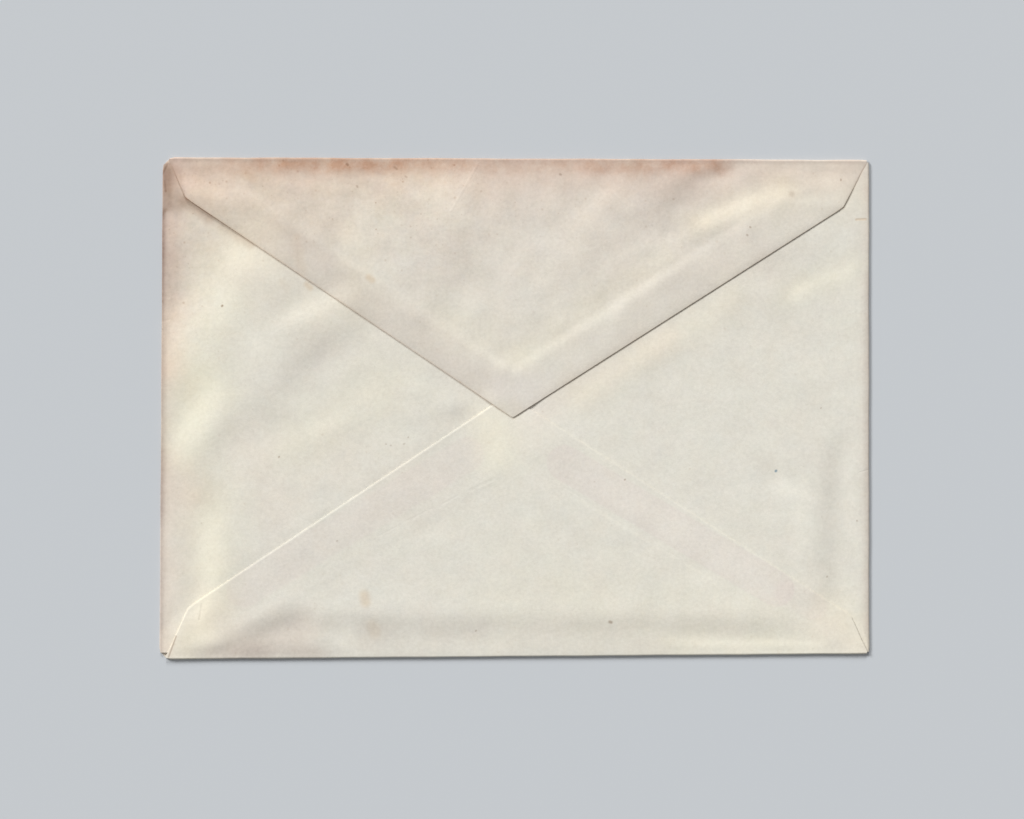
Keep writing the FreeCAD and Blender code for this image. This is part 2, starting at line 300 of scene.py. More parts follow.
def flapDepth(name, s):
    # how far the flap reaches from its fold at s: the lowest of the lines fold end to shoulder,
    # shoulder to tip and, on the side flaps, the blunt tip, with their corners eased
    flap, length = flaps[name], foldFrame(name)[3]
    halves = []
    for shoulder, t, shift in ((flap["shoulders"][0], s, 1), (flap["shoulders"][1], length - s, -1)):
        tip = length / 2 + shift * flap.get("tip", 0) - flap.get("blunt", 0)
        slope = (flap["depth"] - shoulder[1]) / (tip - shoulder[0])
        line = shoulder[1] + slope * (t - shoulder[0])
        if "blunt" in flap:
            line = easeMin(line, np.full_like(s, flap["depth"]), flap["tipEase"])
        else:
            cut = sheet["leftRelief"] if shift > 0 else sheet["rightRelief"]
            steep = shoulder[1] / (shoulder[0] - cut) * (t - cut)
            line = easeMin(line, steep, flap["shoulderEase"])
        halves.append(line)
    ease = flap["tipEase"] if "tip" in flap else 0.01
    return np.maximum(easeMin(*halves, ease), 0.4)


def edgeDistance(name, x, y):
    # from a point to the flap's slanted edge, square to the fold, positive on the flap
    s, away = toFold(name, x, y)
    s = np.clip(s, 0, foldFrame(name)[3])
    return flapDepth(name, s) - away


def fromLine(x, y, x0, y0, x1, y1):
    # distance to the left of a line, distance past its nearer end, and the way across it
    length = math.hypot(x1 - x0, y1 - y0)
    tx, ty = (x1 - x0) / length, (y1 - y0) / length
    along = (x - x0) * tx + (y - y0) * ty
    across = (y - y0) * tx - (x - x0) * ty
    return across, np.maximum(np.maximum(-along, along - length), 0), (-ty, tx)


def swell(x, y):
    # the sum of the relief: each one a Gaussian across its line (slant: its own slope, scaled so
    # that the climb at the line is height / half width), fading past its two ends and at the folds
    total = np.zeros_like(x)
    for kind, lines in relief.items():
        for *line, half, height in lines:
            across, beyond, normal = fromLine(x, y, *line)
            if normal[0] * light["away"][0] + normal[1] * light["away"][1] < 0:
                across = -across
            across = across / half
            beyond = beyond / (1.3 * half)
            shape = np.exp(-across * across / 2 - beyond * beyond / 2)
            total += height * shape * (across if kind == "slant" else 1)
    return total * smoothStep(fromFolds(x, y), *fades["relief"])


def cockled(name, x, y):
    # a sum of plane waves in random directions, of lengths round the given size
    part = cockle[name]
    random = np.random.default_rng(part["seed"])
    angle = random.uniform(0, 2 * math.pi, cockle["waves"])
    length = part["size"] * np.exp(random.normal(0, cockle["spread"], cockle["waves"]))
    phase = random.uniform(0, 2 * math.pi, cockle["waves"])
    total = np.zeros_like(x)
    for a, size, start in zip(angle, length, phase):
        total += size * np.sin(2 * math.pi * (x * math.cos(a) + y * math.sin(a)) / size + start)
    scale = part["height"] * math.sqrt(2 / cockle["waves"]) / part["size"]
    return total * scale * smoothStep(fromFolds(x, y), *fades["cockle"])


def underFlaps(x, y):
    # 1 where a side flap lies under the point, 0 elsewhere, over a soft step at its edge
    left = smoothStep(edgeDistance("left", x, y), *fades["overSide"])
    right = smoothStep(edgeDistance("right", x, y), *fades["overSide"])
    return np.clip(left + right, 0, 1)


def sideHeight(x, y):
    # the side flaps: their level and the swell
    return layers["side"] + swell(x, y) + cockled("side", x, y)


def bottomHeight(x, y):
    # the bottom flap: over the side flaps, sagging past their edges, its own edge pressed down
    edge = edgeDistance("bottom", x, y)
    sag = layers["bottomSag"] * (1 - underFlaps(x, y))
    left, right = layers["bottomDip"]
    dip = left + (right - left) * smoothStep(x, *fades["tipOfBottom"])
    dip = dip * (1 - smoothStep(edge, -0.1, layers["bottomDipReach"]))
    loose = cockled("bottom", x, y) * smoothStep(edge, *fades["looseBottom"])
    return sideHeight(x, y) + layers["bottomLift"] - sag - dip + loose


def topHeight(x, y):
    # the seal flap: over the side flaps and the bottom flap's tip, raised over its gum, its edge
    # turned down in a parabola and its left shoulder standing off in a Gaussian hump
    edge = edgeDistance("top", x, y)
    onBottom = smoothStep(edgeDistance("bottom", x, y), *fades["overBottom"])
    wider = layers["gumWider"] * smoothStep(x, *fades["tipOfSeal"])
    s, away = toFold("top", x, y)
    gum = (1 - smoothStep(edge - wider, *fades["gumEnd"])) * smoothStep(away, *fades["gumTop"])
    dip = layers["topDip"] * np.maximum(1 - np.maximum(edge, 0) / layers["topDipReach"], 0) ** 2
    shoulder, reach = layers["shoulder"], layers["shoulderReach"]
    around = np.hypot(s - shoulder[0], away - shoulder[1]) / reach[0]
    inwards = edge / reach[1]
    lift = layers["shoulderLift"] * np.exp(-around ** 2 * layers["shoulderFall"] - inwards ** 2)
    lift = lift * smoothStep(away, *fades["shoulder"])
    below = sideHeight(x, y) + layers["bottomLift"] * onBottom
    loose = cockled("top", x, y) * smoothStep(edge, *fades["looseTop"])
    return below + layers["topLift"] + layers["gumRise"] * gum - dip + lift + loose


def panelHeight(x, y):
    # the front, face down: all but flat on the table, never below it, in slow waves that are a sine
    # of x, bent by a sine of y, times a cosine of y
    wave = 0.5 + 0.5 * np.sin(x / 17 + 0.8 * np.sin(y / 23)) * np.cos(y / 19 + 0.6)
    return layers["frontWave"] * wave * smoothStep(fromFolds(x, y), *fades["front"])


heights = {"top": topHeight, "bottom": bottomHeight, "left": sideHeight, "right": sideHeight}


def gridFaces(rows, columns, first, flip):
    # quads of a grid of rows x columns points whose first point has the number first
    number = first + np.arange(rows * columns).reshape(rows, columns)
    quads = np.stack([number[:-1, :-1], number[1:, :-1], number[1:, 1:], number[:-1, 1:]], -1)
    quads = quads.reshape(-1, 4)
    return quads[:, ::-1] if flip else quads


def panelGrid(along, up):
    # the front panel: its four corners blended both ways, and its own corners moved to the cut
    u, v = np.meshgrid(along, up, indexing="ij")
    du, dv = np.minimum(u, 1 - u) * sheet["width"], np.minimum(v, 1 - v) * sheet["height"]
    cut = np.where(u < 0.5, sheet["leftRelief"], sheet["rightRelief"])
    short = np.maximum(cut - du - dv, 0) / 2
    u = u + np.where(u < 0.5, 1, -1) * short / sheet["width"]
    v = v + np.where(v < 0.5, 1, -1) * short / sheet["height"]
    points = sum(
        weight[..., None] * corners[corner]
        for weight, corner in (
            ((1 - u) * (1 - v), ("bottom", "left")),
            (u * (1 - v), ("bottom", "right")),
            (u * v, ("top", "right")),
            ((1 - u) * v, ("top", "left")),
        )
    )
    return np.dstack([points, panelHeight(points[..., 0], points[..., 1])])


def flapGrid(name, places):
    # a flap with its bend: columns square to the fold, rows round the half turn of the bend (sine
    # outwards, cosine up), then evenly to the rows that follow the flap's edge
    start, along, inward, length = foldFrame(name)
    s = places * length
    depth = flapDepth(name, s)
    edgeRows = np.array(flaps[name]["edgeRows"][::-1], float)
    share = np.minimum(1, 0.8 * depth / edgeRows[0])[:, None]
    free = depth[:, None] - edgeRows[0] * share
    plain = np.linspace(0, 1, 1 + round((flaps[name]["depth"] - edgeRows[0]) / sheet["step"]))
    away = np.hstack([free * plain[None, :-1], depth[:, None] - edgeRows[None] * share])
    flat = start + s[:, None, None] * along + away[..., None] * inward
    flatHeight = heights[name](flat[..., 0], flat[..., 1])
    turn = np.linspace(0, math.pi, sheet["bendRows"])[:-1]
    foot = start + s[:, None] * along
    # the bend is drawn in over the last millimetre, in a quarter circle, and its width wavers a
    # little along it
    ends = np.clip(np.minimum(s - s[0], s[-1] - s), 0, 1)
    atLeft, atRight = sheet["drawnIn"]
    narrow = atLeft + (atRight - atLeft) * smoothStep(foot[:, 0], *fades["drawnIn"])
    bulge = sheet["bend"][name] * (1 - narrow + narrow * np.sqrt(ends * (2 - ends)))
    bulge = bulge * (1 + sum(part * np.sin(s / wave + phase) for part, wave, phase in sheet["wavers"]))
    bent = foot[:, None] - bulge[:, None, None] * np.sin(turn)[None, :, None] * inward
    bentHeight = flatHeight[:, :1] / 2 * (1 - np.cos(turn))[None]
    edge = np.hstack([np.full_like(bentHeight, farOff), depth[:, None] - away])
    rim = np.hstack([np.ones_like(bentHeight), np.maximum(1 - away / sheet["rim"], 0)])
    grid = np.dstack([np.hstack([bent, flat]), np.hstack([bentHeight, flatHeight])])
    return grid, edge, rim


def buildSheet():
    # the outer face of the whole folded sheet as one mesh, and for every point its distance from
    # the flap's edge, its layer (0 panel, 1 bottom, 2 right, 3 top, 4 left) and 1 on the bends
    lengths = {name: foldFrame(name)[3] for name in folds}
    wide = (lengths["top"] + lengths["bottom"]) / 2
    tall = (lengths["left"] + lengths["right"]) / 2
    across = [sheet["leftRelief"], wide - sheet["rightRelief"]]
    for name in ("top", "bottom"):
        first, last = flaps[name]["shoulders"]
        tip, beside = wide / 2 + flaps[name]["tip"], sheet["besideTip"]
        across += [first[0], wide - last[0], tip, tip - beside, tip + beside]
    upward = []
    for cut in (sheet["leftRelief"], sheet["rightRelief"]):
        upward += [cut, tall - cut]
    for name in ("left", "right"):
        upward += [tall / 2 - flaps[name]["blunt"], tall / 2 + flaps[name]["blunt"]]
    along = stations(wide, across, sheet["step"]) / wide
    up = stations(tall, upward, sheet["step"]) / tall

    panel = panelGrid(along, up)
    count = panel[..., 0].size
    points, edges = [panel.reshape(-1, 3)], [np.full(count, farOff)]
    layerOf, rims = [np.zeros(count)], [np.zeros(count)]
    faces = [gridFaces(*panel.shape[:2], 0, True)]
    for number, name in enumerate(("bottom", "right", "top", "left"), start=1):
        places = along if name in ("top", "bottom") else up
        first = sheet["leftRelief"] if name != "right" else sheet["rightRelief"]
        last = sheet["rightRelief"] if name != "left" else sheet["leftRelief"]
        size = wide if name in ("top", "bottom") else tall
        # a hundredth of a millimetre to spare, so that the cut itself is kept
        inside = (places * size > first - 0.01) & (places * size < size - last + 0.01)
        grid, edge, rim = flapGrid(name, places[inside])
        faces.append(gridFaces(*grid.shape[:2], count, name in ("top", "left")))
        points.append(grid.reshape(-1, 3))
        edges.append(edge.ravel())
        rims.append(rim.ravel())
        layerOf.append(np.full(edge.size, float(number)))
        count += edge.size
    return [np.concatenate(part) for part in (points, faces, edges, layerOf, rims)]


def addObject(name, data):
    obj = bpy.data.objects.new(name, data)
    bpy.context.collection.objects.link(obj)
    return obj


def meshFrom(name, points, faces, values):
    # a mesh from whole arrays, with one float attribute for each of values
    mesh = bpy.data.meshes.new(name)
    mesh.from_pydata((points * mm).tolist(), [], faces.tolist())
    for label, value in values.items():
        attribute = mesh.attributes.new(label, "FLOAT", "POINT")
        attribute.data.foreach_set("value", value.astype(np.float32))
    return mesh


paperTone = {
    "gumBand": (0.085, 0.015),  # how much darker the seal flap is over its gum, left and right
    "rims": (0, -0.06, 0.05, 0.19, 0.22),  # and the bend of each layer, with some dirt from handling: painted shade on the top and left bends, which face the lamps, a little on the right one, and painted light on the bottom one
    "sealFlap": 0.025,  # and the seal flap as a whole, which is also pinker
    "sealPink": 0.22,
    "stainBelow": 0.25,  # share of the stain that the layers under the seal flap have
    "wear": 0.85,  # everywhere, before the strokes below
    "edgeRight": 0.3,  # share of the painted highlight along the bottom flap's cut edge that is left on the right of the tip, which faces the lamps less
    "edgeCorner": 0.2,  # and near the bottom corners
}

# Where they begin and end.
toneFades = {
    "onFront": (1.0, 3.0),  # from a fold, the tones of the back fade out on the front panel
    "gumBand": (8.0, 11.5),  # from a flap's edge
    "edge": (0.2, 0.45),
    "gumSide": (-2, 6),  # along x
    "edgeSide": (-4, 2),
    "edgeCorner": (-54, -50),  # along y
}

# Tones over the back, from the photograph, laid out like the relief, with an amount last.
# They are added up into one value for each attribute.
tones = {
    "tone": [  # lighter above 0, darker below; some copy the relief's slants as painted light and shade, some are painted shadow beside the seal flap's edges
        (-80, 53, -79.6, 26, 2, -0.09),
        (-76, 45, -78, 32, 3.5, -0.07),
        (-76.5, 54.5, -74, 52, 3.2, -0.07),
        (-60, 50, -45, 42, 5, -0.05),
        (-12.2, 39.5, -12.7, 36.5, 1.9, -0.07),
        (-20, 53, -15, 47, 3, 0.05),
        (-8, 48, -10, 33, 3.6, -0.04),
        (-38, 38, -33, 32, 2.8, 0.025),
        (-76, 50.5, -60, 48, 1.8, 0.05),
        (-70, 46.6, -58, 43.4, 2.4, 0.05),
        (-37.2, 32.2, -36.8, 31.6, 1.6, 0.03),
        (-48.5, 11.5, -58, -1, 3.6, -0.055),
        (-20.5, -6.3, -12.5, -0.9, 1.6, -0.05),
        (-63, -34, -55, -28.4, 2, -0.035),
        (-79, -14, -73, -20, 3.2, -0.04),
        (-72, -46, -70.5, -54, 2.2, 0.06),
        (-58, -51, -50, -49.5, 2.8, -0.06),
        (-33, -49.6, -31.5, -51.5, 2.4, -0.05),
        (74, -47, 79, -53, 3.6, 0.05),
        (3, -2, 6, -5, 2.2, 0.05),
        (-5, 0, -4, -9, 4, 0.11),
        (-81, 44, -81.2, -25, 1.1, -0.12),
        (-48, 12, -46, 12, 4, -0.04),
        (-49, -49, -44, -50, 4, -0.02),
        (-70, -56.5, -45, -56, 2, -0.1),
        (-64, 20, -60, 14, 4, 0.05),
        (-50, 22, -42, 25.5, 2.2, 0.03),
        (0, -54.6, 34, -54.8, 2, -0.07),
        (62, -49.5, 68, -50, 2.5, 0.06),
        (22, -18, 58, -40, 3, 0.05),
        (62, -20, 66, -24, 3.5, 0.05),
        (-81, 40, -81, -54, 0.8, -0.04),
        (-74, -56.4, -42, -56.6, 1.7, -0.07),
        (49, 42.3, 62, 46, 1.3, 0.05),
        (-63, 35, -62, 34, 4, 0.05),
        (-67, 32, -76, 17, 6, 0.04),
        (-71, 0, -77, -9, 3.6, 0.06),
        (-70, -27, -70, -40, 3.4, 0.05),
        (-75, -50, -72, -46, 3, 0.035),
        (44, 43, 60, 49.5, 1.8, 0.06),
        (50, 56, 34, 46, 3, -0.05),
        (71.8, -11, 71.2, -39, 2.8, -0.055),
        (-42, -49.4, 64, -50, 2.2, -0.05),
        (-61, -55, -52, -50, 3, -0.085),
        (-3, 10.5, 3, 11.5, 1.5, 0.05),
        (-77.8, 52, -77.2, 47, 1.6, -0.1),
        (-73, 38, -70, 36.5, 2.5, -0.06),
        (44, -40, 52, -42, 2.5, 0.05),
        (26, 42, 39, 43.5, 3, -0.05),
        (34.7, 50.9, 35, 51, 2.5, -0.05),
        (49, 49.4, 52, 49.2, 2, 0.06),
        (0.5, 44, 1.5, 43.5, 2.5, -0.06),
        (-72, 8, -71, 7.5, 2.5, 0.05),
        (12, -2, 14, -1, 2.5, 0.045),
        (-50, -56.5, -20, -56.5, 1.2, -0.05),
        (81, 30, 81, -55, 0.9, -0.13),
        (79.6, 52, 79.8, 36, 2.2, -0.045),
        (-4, 3.2, -34, 22.6, 1.3, -0.015),
        (65, 47.2, 73.5, 47.6, 0.9, 0.05),
        (1, 9.3, 40, 34.2, 0.9, 0.02),
        (27, 52.5, 33, 51.5, 2, -0.04),
        (51, 50.5, 53, 50.5, 1.5, 0.04),
        (-76, -54.6, -71, -53, 2, 0.07),
        (65, 26.2, 76.5, 30.6, 1.3, 0.05),
        (-75, -56.2, -57, -56, 1.6, -0.07),
        (-75.5, 50.5, -69.5, 47.8, 1.8, 0.03),
        (-15, -1.5, -3, 1.5, 2.2, -0.04),
        (38, 28.5, 42, 29, 2.5, -0.05),
        (-26, 52.5, -17, 52.2, 1.8, 0.05),
        (-71, 53, -67, 52.5, 1.8, 0.05),
        (75, 49, 77, 49, 2, 0.05),
        (-34, -52.5, -8, -52.5, 2, -0.09),
        (-78.5, 34, -77.5, 28, 2.5, -0.07),
        (-10.5, 49.8, -10.2, 49.6, 2.5, 0.08),
        (-20, 28, -17, 35, 3, -0.07),
        (17.5, 52.5, 20, 52.3, 2, 0.05),
        (57, 33.5, 67, 36, 2.4, -0.07),
        (-66, -32, -63, -30, 2.5, 0.06),
        (19, 30, 22, 30.5, 2.6, -0.06),
        (-18, 16.8, -5, 9, 1.3, 0.06),
        (-42, 14.5, -37, 15, 3, -0.06),
        (58.6, -12, 58.4, -20, 1.2, -0.03),
        (56, 25, 58, 24, 5, -0.03),
        (-15, 51, -12, 54, 3, 0.05),
        (-81, -10, -81, -50, 0.9, -0.07),
        (45, -54.5, 70, -54.5, 1.5, 0.03),
        (-14, -13, -58, -41, 3.6, -0.02),
    ],
    "yellow": [  # how far the paper has turned yellow
        (-76, -54, -72, -52, 3, 0.9),
        (-72, 51, -20, 50, 8, 0.5),
        (-64, 36, -77, 12, 8, 0.75),
        (-71, 3, -76, -9, 5, 0.9),
        (-69.5, -22, -69.5, -44, 4.5, 0.9),
        (-46, 22, -38, 24, 4, 0.4),
        (-30, 5, -50, -8, 5, 0.5),
        (-5, -3, -4, -10, 4.2, 0.7),
        (-3, 3.5, 3, 4, 3, -0.5),
        (74, -46, 79, -54, 4, 0.6),
        (42, 42, 61, 50, 2.5, 0.8),
        (0, -42, 60, -50, 7, 0.35),
        (36, -54, 70, -54, 2, 0.4),
        (50, 25, 15, 3, 3, 0.5),
        (62, 26, 77, 32, 2.5, 0.6),
        (2, 12, 34, 34, 2.5, 0.45),
        (-18, 22, 0, 12, 3, 0.35),
        (-38, 39, -36, 31, 3, 0.4),
        (65, 48, 78, 50, 4, 0.4),
    ],
    "wear": [  # how strong the mottling is
        (-76, 52, -20, 50, 9, 0.7),
        (-78, 40, -76, 20, 6, 0.6),
        (-20, 40, 40, 50, 12, 0.3),
    ],
    "pink": [  # how far it has turned pink
        (6, -1.5, 34, 15.5, 3, 0.5),
        (-3, 4, -40, 28, 3.2, 0.25),
        (-68, -55, -48, -52, 3, 0.15),
        (-76, 54, 78, 54, 4.5, 0.8),
        (-70, 50, 48, 50, 10, 0.35),
        (-68, 42, -46, 40, 7, 0.5),
        (-20, 40, 50, 30, 10, 0.22),
        (-81, 54, -79.5, 10, 3, 1.6),
        (-78, 54, -70, 50, 4, 0.8),
        (-79, 40, -76, 22, 4, 0.5),
        (-66, 30, -45, 18, 6, 0.25),
        (-80.8, 8, -80.8, -55, 1.8, 0.8),
        (-77, -20, -78, -40, 4, 0.45),
        (-60, -10, -55, -22, 4.5, 0.4),
        (-40, -12, -22, -18, 6, 0.2),
        (-79, -14, -74, -20, 3.2, 0.5),
        (-64, -54, -50, -52, 4, 0.4),
        (-10, -4, 0, -6, 4, 0.25),
        (-70, -47, -79, -54, 4, 0.5),
        (72, -50, 80, -54, 4, 0.5),
        (81, 50, 81, -50, 1, 0.5),
    ],
}


def toneField(name, x, y):
    # the sum of soft strokes: a Gaussian of the distance to each line
    total = np.zeros_like(x)
    for *line, half, amount in tones[name]:
        across, beyond = fromLine(x, y, *line)[:2]
        total += amount * np.exp(-(across ** 2 + beyond ** 2) / (2 * half * half))
    return total


rust = {  # the stain along the top fold
    "near": {"share": 0.54, "middle": 1.3, "width": 1.9, "power": 2.2},
    "far": {"share": 0.36, "width": 6.0, "power": 1.4},
    "uneven": (0.70, 0.34, 0.06, 0.30),  # mean, slow wave, fine wave, loss towards the right
    "starts": (-80, -60),  # in x
    "stops": (46, 52),
    "beyond": 0.22,  # share of it past those ends
}


def stainField(x, y):
    # a strong band just below the fold, times a slow cosine and a fine sine of x, and a wide fading
    # below it: each is e to the minus power of the distance over its width
    near, far = rust["near"], rust["far"]
    mean, slow, fine, loss = rust["uneven"]
    away = np.maximum(toFold("top", x, y)[1], 0)
    uneven = mean + slow * np.cos((x + 38) / 12.6) + fine * np.sin(x / 2.3)
    uneven = uneven - loss * smoothStep(x, 10, 40)
    ends = smoothStep(x, *rust["starts"]) * (1 - smoothStep(x, *rust["stops"]))
    band = near["share"] * np.exp(-(np.abs(away - near["middle"]) / near["width"]) ** near["power"])
    fading = far["share"] * np.exp(-(away / far["width"]) ** far["power"])
    return (band * uneven + fading) * (rust["beyond"] + (1 - rust["beyond"]) * ends)


def finishMesh(obj, angle):
    # the modifiers applied, their result kept as the object's own mesh, sharp past angle
    graph = bpy.context.evaluated_depsgraph_get()
    mesh = bpy.data.meshes.new_from_object(obj.evaluated_get(graph), depsgraph=graph)
    obj.modifiers.clear()
    obj.data = mesh
    mesh.shade_smooth()
    mesh.set_sharp_from_angle(angle=math.radians(angle))


def paperValues(points, edges, layerOf, rims):
    # the paper's attributes at every point of the sheet
    x, y = points[:, 0], points[:, 1]
    onBottom, onSeal = (layerOf == 1).astype(float), (layerOf == 3).astype(float)
    onBack = np.where(layerOf > 0, 1, 1 - smoothStep(fromFolds(x, y), *toneFades["onFront"]))
    gumLeft, gumRight = paperTone["gumBand"]
    gumBand = onSeal * (1 - smoothStep(edges, *toneFades["gumBand"]))
    gumBand = gumBand * (gumLeft + (gumRight - gumLeft) * smoothStep(x, *toneFades["gumSide"]))
    # painted shade and light on the bends, with some dirt
    rimShadingAndDirt = np.array(paperTone["rims"])[layerOf.astype(int)] * rims
    stained = paperTone["stainBelow"] + (1 - paperTone["stainBelow"]) * onSeal
    atRight = (1 - paperTone["edgeRight"]) * smoothStep(x, *toneFades["edgeSide"])
    corner = paperTone["edgeCorner"]
    corner = corner + (1 - corner) * smoothStep(y, *toneFades["edgeCorner"])
    # a painted highlight along the bottom flap's cut edge
    paintedEdgeHighlight = onBottom * (1 - smoothStep(edges, *toneFades["edge"]))
    tone = toneField("tone", x, y) * onBack - gumBand - rimShadingAndDirt
    return {
        "tone": tone - paperTone["sealFlap"] * onSeal,
        "yellow": toneField("yellow", x, y) * onBack,
        "pink": toneField("pink", x, y) * onBack + paperTone["sealPink"] * onSeal,
        "stain": stainField(x, y) * stained,
        "wear": toneField("wear", x, y) * onBack + paperTone["wear"],
        # 1 off the seal flap, to keep the painted shadow under its edge off the flap
        "under": 1 - onSeal,
        "edge": paintedEdgeHighlight * (1 - atRight) * corner,
    }


points, faces, edges, layerOf, rims = buildSheet()
values = paperValues(points, edges, layerOf, rims)
mesh = meshFrom("paper_envelope", points, faces, values)
envelope = addObject("paper_envelope", mesh)
clean = bmesh.new()
clean.from_mesh(mesh)
bmesh.ops.remove_doubles(clean, verts=clean.verts, dist=sheet["weld"] * mm)
clean.to_mesh(mesh)
clean.free()
wall = envelope.modifiers.new("thickness", "SOLIDIFY")
wall.thickness = sheet["paper"] * mm
wall.offset = -1
wall.use_even_offset = True
bpy.context.view_layer.update()
finishMesh(envelope, sheet["crisp"])
print(f"sheet made: {len(envelope.data.polygons)} faces")

paper = {
    "colour": (0.737, 0.708, 0.625),
    "yellow": (1.015, 1.0, 0.93),
    "pink": (1.02, 0.955, 0.94),
    "stain": (0.715, 0.51, 0.42),
    # how much the painted highlight lightens the bottom flap's cut edge
    "edge": 1.025,
    "toneHue": (0.93, 1.03, 1.03),  # lighter tones lean to green, darker ones to pink
    "roughness": 0.86,
    "specular": 0.25,
    "mottle": 0.085,  # how much the soft clouds change the brightness, where the wear is 1
    "hue": 0.55,  # and the two tints
    "grain": 0.10,
    "bump": 0.40,
    "bumpHeight": 0.03,
    "crease": 2.5,  # height of a whole crease beside the fibre's own
    "blotch": {"Scale": 0.2, "Detail": 5, "Roughness": 0.7},  # one noise breaks up the stain
    "stainBlotch": (2.2, -0.1),  # how: the noise times the first, plus the second
    "spotBlotch": (4.0, -1.5),  # the same for where there is foxing
    "spotWear": (0.9, -0.45),  # and for how it grows with the wear
}

# The scattered foxing, the wide kind and the fine kind: cells to the millimetre, size within the
# cell, share of the cells that have one, and what it multiplies the colour by.
foxing = (
    {"Scale": 0.5, "Size": 0.17, "Share": 0.22, "tint": (0.62, 0.50, 0.42)},
    {"Scale": 1.15, "Size": 0.26, "Share": 0.35, "tint": (0.78, 0.74, 0.70)},
)

# What each kind of mark multiplies the colour by, in the order in which they lie.
tints = {
    # dirt, and painted shade in wrinkles and a crease
    "shade": (0.60, 0.54, 0.50),
    # painted shadow under the seal flap's edge, warmed like dirt
    "shadowUnderFlap": (0.64, 0.53, 0.475),
    # handling dirt and painted shade along the seal flap's cut edge
    "edgeDirtAndShade": (0.86, 0.72, 0.63),
    "gum": (0.982, 0.945, 0.968),
    # painted highlights on low ridges, and worn fibres
    "light": (1.07, 1.07, 1.06),
    "rust": (0.84, 0.66, 0.48),
    "brown": (0.32, 0.2, 0.12),
    "blue": (0.12, 0.3, 0.5),
}


def addNode(tree, kind, **settings):
    node = tree.nodes.new(kind)
    for key, value in settings.items():
        setattr(node, key, value)
    return node


def setInputs(node, values):
    for key, value in values.items():
        node.inputs[key].default_value = value


def maths(tree, operation, a, b=None, c=None, clamp=False):
    # one Math node; a, b and c are sockets or numbers
    node = addNode(tree, "ShaderNodeMath", operation=operation, use_clamp=clamp)
    for socket, value in zip(node.inputs, (a, b, c)):
        if isinstance(value, (int, float)):
            socket.default_value = value
        elif value is not None:
            tree.links.new(value, socket)
    return node.outputs[0]


def tint(tree, colour, factor, by):
    # colour multiplied by the constant by, as far as factor says; a factor below 0 does the reverse
    node = addNode(tree, "ShaderNodeMix", data_type="RGBA", blend_type="MULTIPLY", clamp_factor=False)
    tree.links.new(factor, node.inputs["Factor"])
    tree.links.new(colour, node.inputs[6])
    node.inputs[7].default_value = (*by, 1)
    return node.outputs[2]


def newGroup(name, inputs, outputs):
    group = bpy.data.node_groups.new(name, "ShaderNodeTree")
    for label, kind in inputs:
        group.interface.new_socket(label, in_out="INPUT", socket_type=f"NodeSocket{kind}")
    for label, kind in outputs:
        group.interface.new_socket(label, in_out="OUTPUT", socket_type=f"NodeSocket{kind}")
    return group, group.nodes.new("NodeGroupInput"), group.nodes.new("NodeGroupOutput")


def fibreGroup():
    # clouded pulp with two hues of its own, and fine fibre, from a place in millimetres; every
    # value lies around 0
    outputs = [(label, "Float") for label in ("Cloud", "Warm", "Rosy", "Grain", "Height")]
    group, start, end = newGroup("paper fibre", [("Place", "Vector")], outputs)
    sizes = {
        "cloud": {"Scale": 0.15, "Detail": 3, "Roughness": 0.85},
        "grain": {"Scale": 1.2, "Detail": 2, "Roughness": 0.95},
        "fine": {"Scale": 7.0, "Detail": 2, "Roughness": 0.6},
    }
    noises = {}
    for label, size in sizes.items():
        noise = addNode(group, "ShaderNodeTexNoise")
        setInputs(noise, size)
        group.links.new(start.outputs["Place"], noise.inputs["Vector"])
        noises[label] = maths(group, "MULTIPLY_ADD", noise.outputs["Fac"], 2.0, -1.0)
        if label == "cloud":
            parts = addNode(group, "ShaderNodeSeparateColor")
            group.links.new(noise.outputs["Color"], parts.inputs["Color"])
            for socket, hue in ((1, "Warm"), (2, "Rosy")):
                around = maths(group, "MULTIPLY_ADD", parts.outputs[socket], 2.0, -1.0)
                group.links.new(around, end.inputs[hue])
    group.links.new(noises["cloud"], end.inputs["Cloud"])
    group.links.new(noises["grain"], end.inputs["Grain"])
    height = maths(group, "MULTIPLY_ADD", noises["fine"], 0.35, noises["grain"])
    group.links.new(height, end.inputs["Height"])
    return group


def strokeGroup():
    # 1 on a line seen from above and 0 past its half width, by which every length is divided; it
    # stays 1 over the share Core. Middle and Offset place the line along and across itself
    inputs = [("Place", "Vector"), ("Along", "Vector"), ("Across", "Vector")]
    inputs += [(label, "Float") for label in ("Middle", "Offset", "Reach", "Core")]
    group, start, end = newGroup("stroke", inputs, [("Mask", "Float")])
    off = []
    for direction, centre in (("Along", "Middle"), ("Across", "Offset")):
        dot = addNode(group, "ShaderNodeVectorMath", operation="DOT_PRODUCT")
        group.links.new(start.outputs["Place"], dot.inputs[0])
        group.links.new(start.outputs[direction], dot.inputs[1])
        off.append(maths(group, "SUBTRACT", dot.outputs["Value"], start.outputs[centre]))
    beyond = maths(group, "SUBTRACT", maths(group, "ABSOLUTE", off[0]), start.outputs["Reach"])
    beyond = maths(group, "MAXIMUM", beyond, 0.0)
    squares = maths(group, "MULTIPLY_ADD", off[1], off[1], maths(group, "MULTIPLY", beyond, beyond))
    mask = addNode(group, "ShaderNodeMapRange", interpolation_type="SMOOTHERSTEP")
    setInputs(mask, {"From Min": 1.0})
    group.links.new(start.outputs["Core"], mask.inputs["From Max"])
    group.links.new(maths(group, "SQRT", squares), mask.inputs["Value"])
    group.links.new(mask.outputs["Result"], end.inputs["Mask"])
    return group


